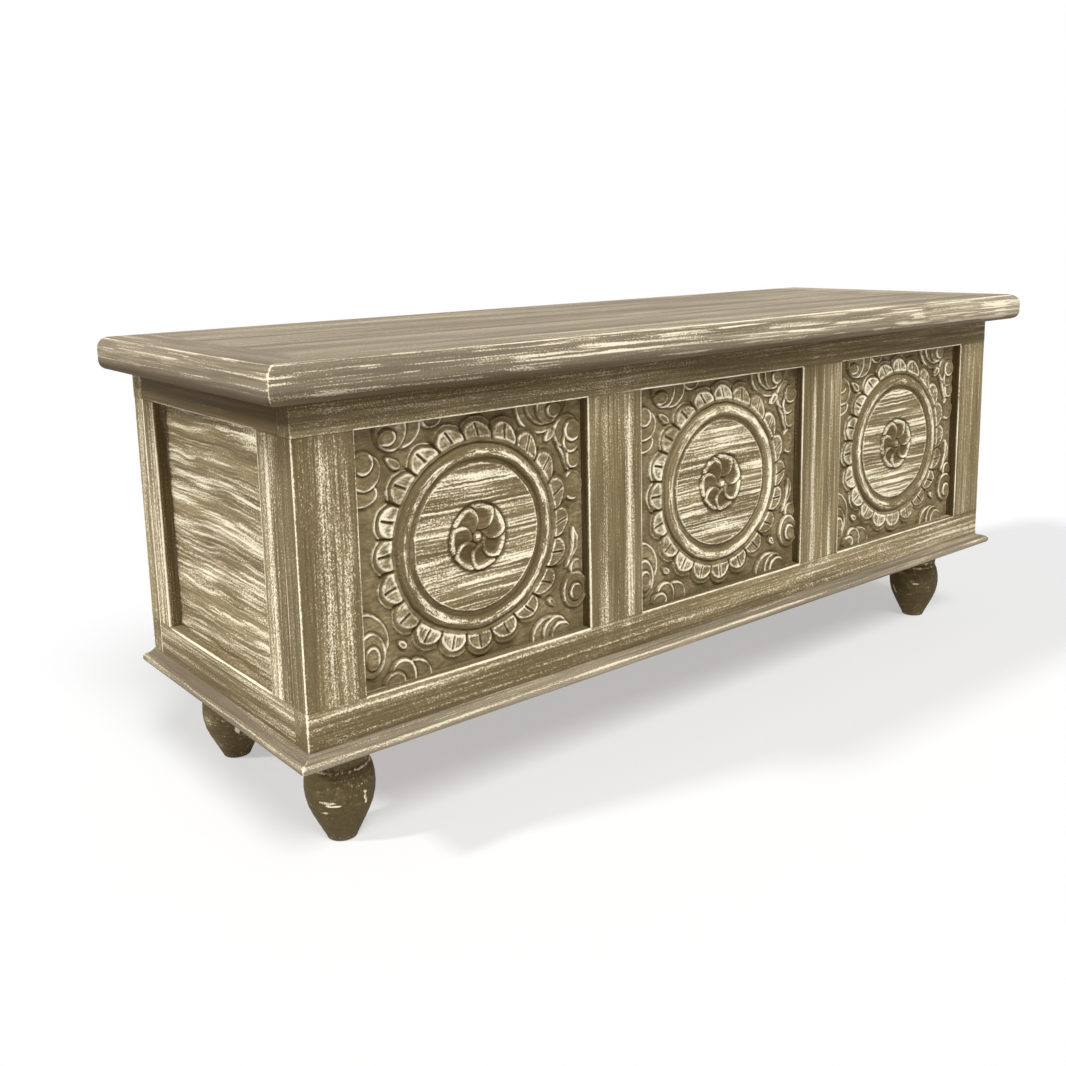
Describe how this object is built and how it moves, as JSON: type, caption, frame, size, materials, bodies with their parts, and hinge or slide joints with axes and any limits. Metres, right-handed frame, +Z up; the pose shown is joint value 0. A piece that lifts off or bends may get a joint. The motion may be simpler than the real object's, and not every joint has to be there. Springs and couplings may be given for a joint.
{
  "type": "damchiya chest",
  "caption": "Low wooden storage chest with carved medallion panels, turned feet and a hinged, rounded-edge lid held open by a slotted stay.",
  "frame": {"origin": "on the floor, under the middle of the chest's overall length and depth, lid overhang included", "axes": "+X to the right along the front, +Y from the front to the back, +Z up"},
  "size_m": [1.148, 0.3996, 0.4696],
  "materials": {
    "painted_wood": "taupe paint, brushed back to pale wood along the grain",
    "carved_wood": "taupe paint, worn pale on the high parts of the carving",
    "foot_wood": "darker taupe paint, turned and lightly worn",
    "plain_wood": "plain sawn wood",
    "hinge_iron": "dark blackened iron",
    "screw_steel": "dull steel"
  },
  "bodies": {
    "case": {"back_bottom_board": "plain_wood", "back_bottom_rail": "painted_wood", "back_left_foot": "foot_wood", "back_left_stile": "painted_wood", "back_panel": "plain_wood", "back_right_foot": "foot_wood", "back_right_stile": "painted_wood", "back_top_rail": "painted_wood", "base_moulding_front": "painted_wood", "base_moulding_left": "painted_wood", "base_moulding_right": "painted_wood", "front_bottom_board": "plain_wood", "front_bottom_rail": "painted_wood", "front_left_foot": "foot_wood", "front_left_muntin": "painted_wood", "front_left_panel": "carved_wood", "front_left_stile": "painted_wood", "front_middle_panel": "carved_wood", "front_right_foot": "foot_wood", "front_right_muntin": "painted_wood", "front_right_panel": "carved_wood", "front_right_stile": "painted_wood", "front_top_rail": "painted_wood", "hinge_case_screws": "screw_steel", "left_hinge_case_leaf": "hinge_iron", "left_hinge_pin": "hinge_iron", "left_side_back_stile": "painted_wood", "left_side_bottom_rail": "painted_wood", "left_side_front_stile": "painted_wood", "left_side_panel": "painted_wood", "left_side_top_rail": "painted_wood", "middle_bottom_board": "plain_wood", "right_hinge_case_leaf": "hinge_iron", "right_hinge_pin": "hinge_iron", "right_side_back_stile": "painted_wood", "right_side_bottom_rail": "painted_wood", "right_side_front_stile": "painted_wood", "right_side_panel": "painted_wood", "right_side_top_rail": "painted_wood", "stay_case_screws": "screw_steel", "stay_plate": "hinge_iron", "stay_stud": "hinge_iron"},
    "lid": {"hinge_lid_screws": "screw_steel", "left_hinge_lid_leaf": "hinge_iron", "lid_back_rail": "painted_wood", "lid_batten_left": "plain_wood", "lid_batten_middle": "plain_wood", "lid_batten_right": "plain_wood", "lid_edging_front": "painted_wood", "lid_edging_left": "painted_wood", "lid_edging_right": "painted_wood", "lid_plank_back": "painted_wood", "lid_plank_front": "painted_wood", "lid_plank_middle": "painted_wood", "right_hinge_lid_leaf": "hinge_iron", "stay_bracket": "hinge_iron", "stay_lid_screws": "screw_steel", "stay_pivot_pin": "hinge_iron"},
    "stay_arm": {"stay_arm": "hinge_iron"}
  },
  "joints": [
    {"name": "lid_hinge", "type": "hinge", "parent": "case", "child": "lid", "pos_m": [0, 0.19625, 0.4353], "axis": [-1, 0, 0], "range_deg": [0, 95]},
    {"name": "stay_pivot", "type": "hinge", "parent": "lid", "child": "stay_arm", "pos_m": [0.5109, 0.097, 0.42311], "axis": [1, 0, 0], "range_deg": [0, 47.5]}
  ],
  "couplings": [
    {"joint": "stay_pivot", "follows": "lid_hinge", "ratio": 0.5}
  ]
}
